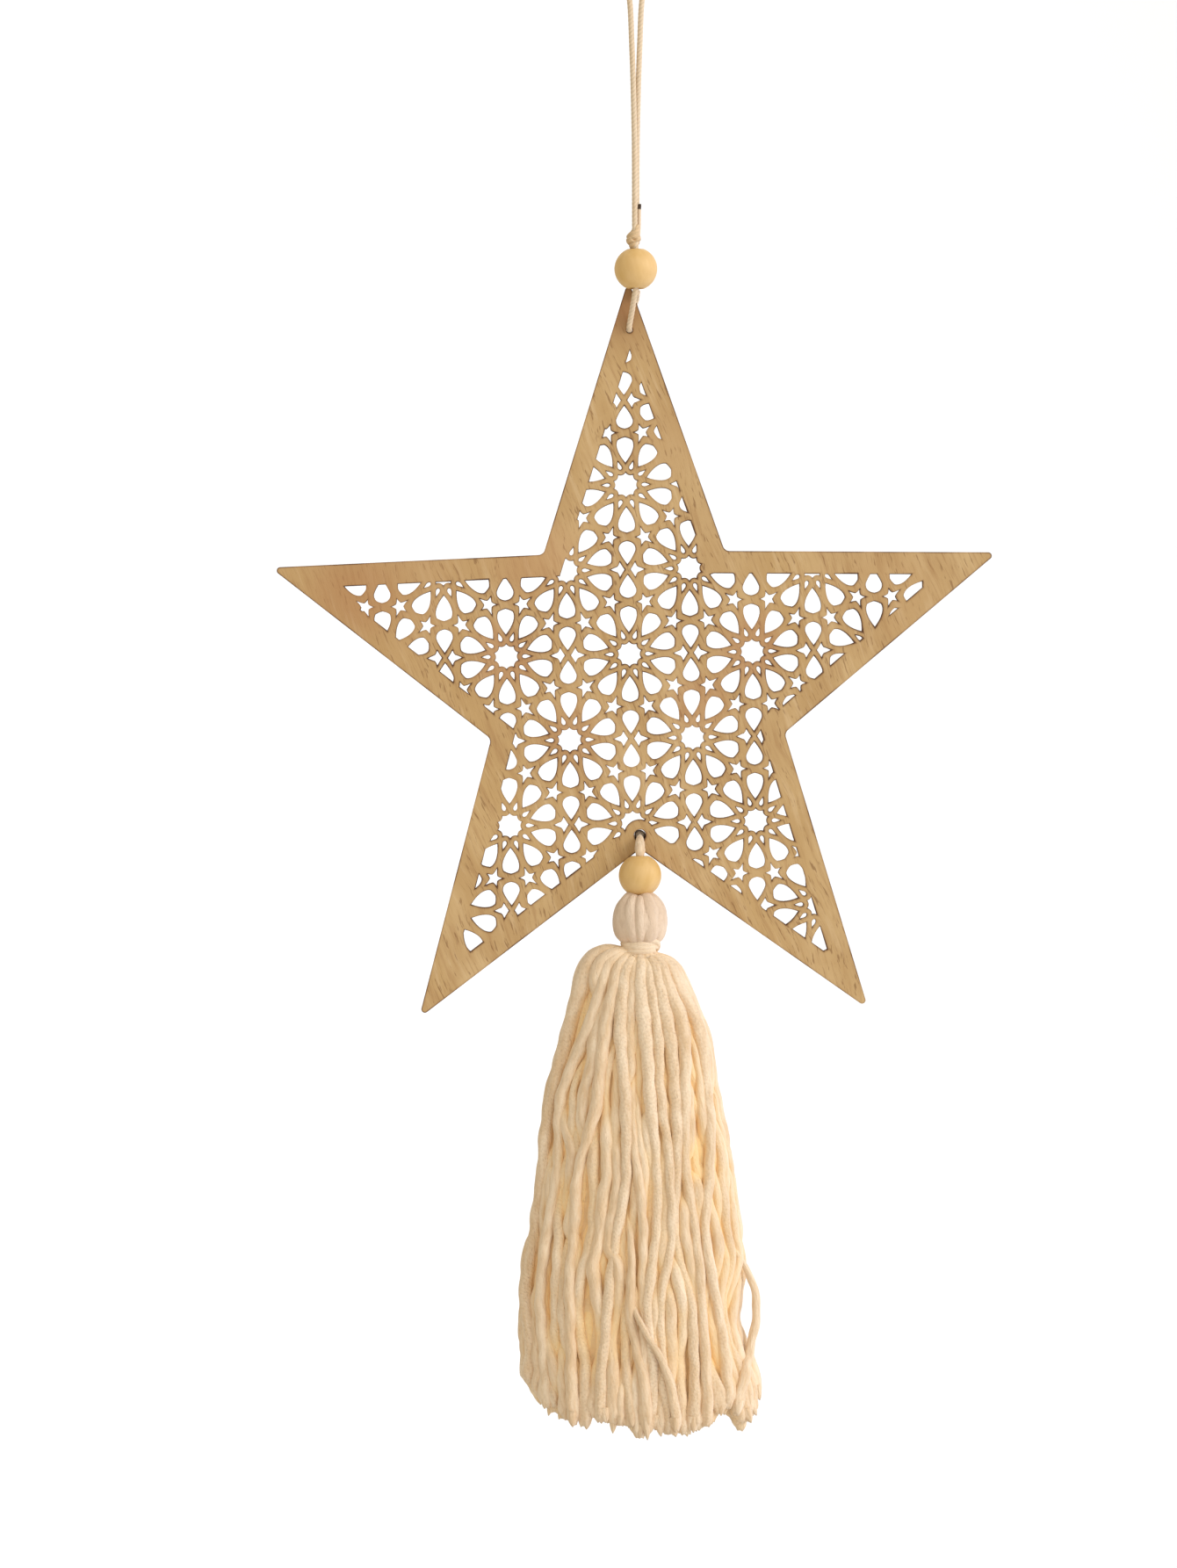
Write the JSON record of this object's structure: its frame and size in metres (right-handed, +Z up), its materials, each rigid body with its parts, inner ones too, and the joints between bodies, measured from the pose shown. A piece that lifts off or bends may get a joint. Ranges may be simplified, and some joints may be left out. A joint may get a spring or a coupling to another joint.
{
  "type": "hanging wooden star ornament with tassel",
  "caption": "Flat wooden star cut through with a rosette lattice, hung from a cord loop under a round bead, with a second bead and a long yarn tassel below.",
  "frame": {"origin": "the inside of the cord loop's top bend, where a nail or hook bears", "axes": "+Z up along the hanging cord, +X to the right of someone facing the front, front faces -Y"},
  "size_m": [0.2015, 0.0384, 0.4137],
  "materials": {
    "star_plywood": "bare plywood, laser cut, with scorched brown cut edges",
    "bead_wood": "smooth matte turned wood",
    "cord": "soft twisted cord",
    "tassel_yarn": "soft matte cotton yarn"
  },
  "bodies": {
    "root": {"star_plate": "star_plywood", "top_bead": "bead_wood", "bottom_bead": "bead_wood", "hanging_cord": "cord", "cord_knot": "cord", "cord_tail": "cord", "star_cord": "cord", "tassel_tie": "tassel_yarn", "tassel": "tassel_yarn", "tassel_binding": "tassel_yarn"}
  },
  "joints": []
}
